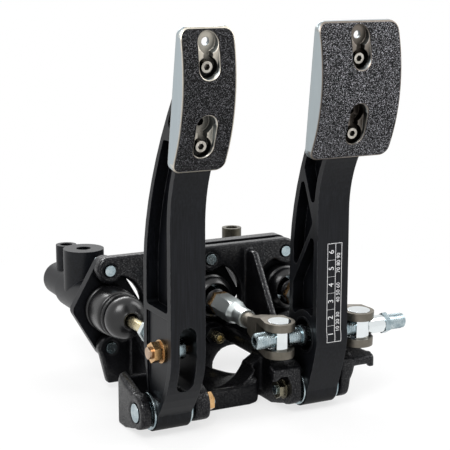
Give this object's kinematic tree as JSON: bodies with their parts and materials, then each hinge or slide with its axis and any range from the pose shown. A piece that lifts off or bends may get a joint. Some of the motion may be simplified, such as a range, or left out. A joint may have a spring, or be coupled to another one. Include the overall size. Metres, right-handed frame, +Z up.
{
  "type": "pedal box",
  "caption": "Floor-mounted clutch and brake pedal assembly with a cast frame, I-beam pedal arms, a brake balance bar and horizontal master cylinders behind a wall.",
  "frame": {"origin": "midway between the front floor bolts, on the floor", "axes": "+X to the driver's right, +Y forward along the master cylinders, +Z up"},
  "size_m": [0.2077, 0.2743, 0.2709],
  "materials": {
    "cast_black": "textured black coat over a casting",
    "arm_black": "black anodised, fine machining lines",
    "cylinder_black": "black anodised, satin",
    "zinc_steel": "bright zinc plate",
    "polished_steel": "polished",
    "yellow_zinc": "yellow zinc plate",
    "phosphate_steel": "grey-brown phosphate",
    "spring_steel": "drawn wire",
    "bronze": "sintered bronze",
    "bare_aluminium": "machined, bare",
    "grey_aluminium": "machined, grey",
    "grip_grit": "coarse black grit",
    "boot_rubber": "moulded rubber"
  },
  "bodies": {
    "frame": {"frame": "cast_black", "pivot_bolts": "zinc_steel", "pivot_sleeves": "zinc_steel", "pivot_nuts": "yellow_zinc", "thrust_washers": "zinc_steel", "clutch_cylinder": "cylinder_black", "left_cylinder": "cylinder_black", "right_cylinder": "cylinder_black", "flange_bolts": "zinc_steel", "long_flange_bolt": "zinc_steel", "long_bolt_nut": "yellow_zinc", "clamp_bar": "cast_black", "retaining_rings": "zinc_steel", "clutch_boot": "boot_rubber", "left_boot": "boot_rubber", "right_boot": "boot_rubber", "clutch_spring": "spring_steel", "left_spring": "spring_steel", "right_spring": "spring_steel"},
    "clutch_pedal": {"clutch_arm": "arm_black", "clutch_bushes": "bronze", "clutch_pad": "bare_aluminium", "clutch_grip": "grip_grit", "clutch_pad_screws": "zinc_steel", "clutch_pin_bolt": "zinc_steel", "clutch_pin_nut": "yellow_zinc"},
    "clutch_link": {"clutch_eye": "zinc_steel", "clutch_pushrod": "yellow_zinc", "clutch_jam_nut": "yellow_zinc"},
    "clutch_plunger": {"clutch_piston": "bare_aluminium", "clutch_seal": "boot_rubber"},
    "brake_pedal": {"brake_arm": "arm_black", "brake_bushes": "bronze", "brake_pad": "grey_aluminium", "brake_grip": "grip_grit", "brake_pad_screws": "zinc_steel", "bearing_sleeve": "zinc_steel"},
    "bar_bearing": {"bearing_ball": "polished_steel"},
    "bar": {"balance_bar": "zinc_steel", "bar_washers": "zinc_steel", "bar_dust_seals": "boot_rubber", "bar_end_sleeve": "polished_steel", "bar_end_nut": "zinc_steel"},
    "left_swivel": {"left_trunnion": "zinc_steel"},
    "left_link": {"left_clevis": "phosphate_steel", "left_coupling": "zinc_steel", "left_jam_nut": "yellow_zinc", "left_pushrod": "zinc_steel"},
    "left_plunger": {"left_piston": "bare_aluminium", "left_seal": "boot_rubber"},
    "right_swivel": {"right_trunnion": "zinc_steel"},
    "right_link": {"right_clevis": "phosphate_steel", "right_coupling": "zinc_steel", "right_jam_nut": "yellow_zinc", "right_pushrod": "zinc_steel"},
    "right_plunger": {"right_piston": "bare_aluminium", "right_seal": "boot_rubber"}
  },
  "joints": [
    {"name": "clutch_pedal_hinge", "type": "hinge", "parent": "frame", "child": "clutch_pedal", "pos_m": [-0.05625, -0.0225, 0.016], "axis": [-1, 0, 0], "range_deg": [0, 20], "stiffness_Nm_per_rad": 5, "springref_deg": -22.92, "deforming": ["clutch_boot", "clutch_spring"]},
    {"name": "clutch_link_pivot", "type": "hinge", "parent": "clutch_pedal", "child": "clutch_link", "pos_m": [-0.05625, -0.0401, 0.0616], "axis": [-1, 0, 0], "range_deg": [-20, 0]},
    {"name": "clutch_piston_slide", "type": "slide", "parent": "frame", "child": "clutch_plunger", "axis": [0, 1, 0], "range_m": [0, 0.018]},
    {"name": "brake_pedal_hinge", "type": "hinge", "parent": "frame", "child": "brake_pedal", "pos_m": [0.05625, -0.0225, 0.016], "axis": [-1, 0, 0], "range_deg": [0, 18], "stiffness_Nm_per_rad": 8, "springref_deg": -22.92, "deforming": ["left_boot", "right_boot", "left_spring", "right_spring"]},
    {"name": "bar_swing", "type": "hinge", "parent": "brake_pedal", "child": "bar_bearing", "pos_m": [0.05625, -0.0305, 0.0555], "axis": [0, 0, 1], "range_deg": [-2, 2]},
    {"name": "bar_turn", "type": "hinge", "parent": "bar_bearing", "child": "bar", "pos_m": [0.05625, -0.0305, 0.0555], "axis": [1, 0, 0], "range_deg": [-180, 180]},
    {"name": "left_trunnion_pivot", "type": "hinge", "parent": "bar_bearing", "child": "left_swivel", "pos_m": [0.0245, -0.0305, 0.0555], "axis": [-1, 0, 0], "range_deg": [-18.5, 0]},
    {"name": "left_clevis_pivot", "type": "hinge", "parent": "left_swivel", "child": "left_link", "pos_m": [0.0245, -0.0305, 0.0555], "axis": [0, -0.0423, 0.9991], "range_deg": [-2.5, 2.5]},
    {"name": "left_piston_slide", "type": "slide", "parent": "frame", "child": "left_plunger", "axis": [0, 1, 0], "range_m": [0, 0.013]},
    {"name": "right_trunnion_pivot", "type": "hinge", "parent": "bar_bearing", "child": "right_swivel", "pos_m": [0.088, -0.0305, 0.0555], "axis": [-1, 0, 0], "range_deg": [-18.5, 0]},
    {"name": "right_clevis_pivot", "type": "hinge", "parent": "right_swivel", "child": "right_link", "pos_m": [0.088, -0.0305, 0.0555], "axis": [0, -0.0423, 0.9991], "range_deg": [-2.5, 2.5]},
    {"name": "right_piston_slide", "type": "slide", "parent": "frame", "child": "right_plunger", "axis": [0, 1, 0], "range_m": [0, 0.013]}
  ],
  "couplings": [
    {"joint": "clutch_link_pivot", "follows": "clutch_pedal_hinge", "ratio": -0.926},
    {"joint": "clutch_piston_slide", "follows": "clutch_pedal_hinge", "m_per_rad": 0.0475},
    {"joint": "left_trunnion_pivot", "follows": "brake_pedal_hinge", "ratio": -1},
    {"joint": "right_trunnion_pivot", "follows": "brake_pedal_hinge", "ratio": -1},
    {"joint": "left_piston_slide", "follows": "brake_pedal_hinge", "m_per_rad": 0.0401},
    {"joint": "right_piston_slide", "follows": "brake_pedal_hinge", "m_per_rad": 0.0401},
    {"joint": "left_clevis_pivot", "follows": "bar_swing", "ratio": -1},
    {"joint": "right_clevis_pivot", "follows": "bar_swing", "ratio": -1}
  ]
}
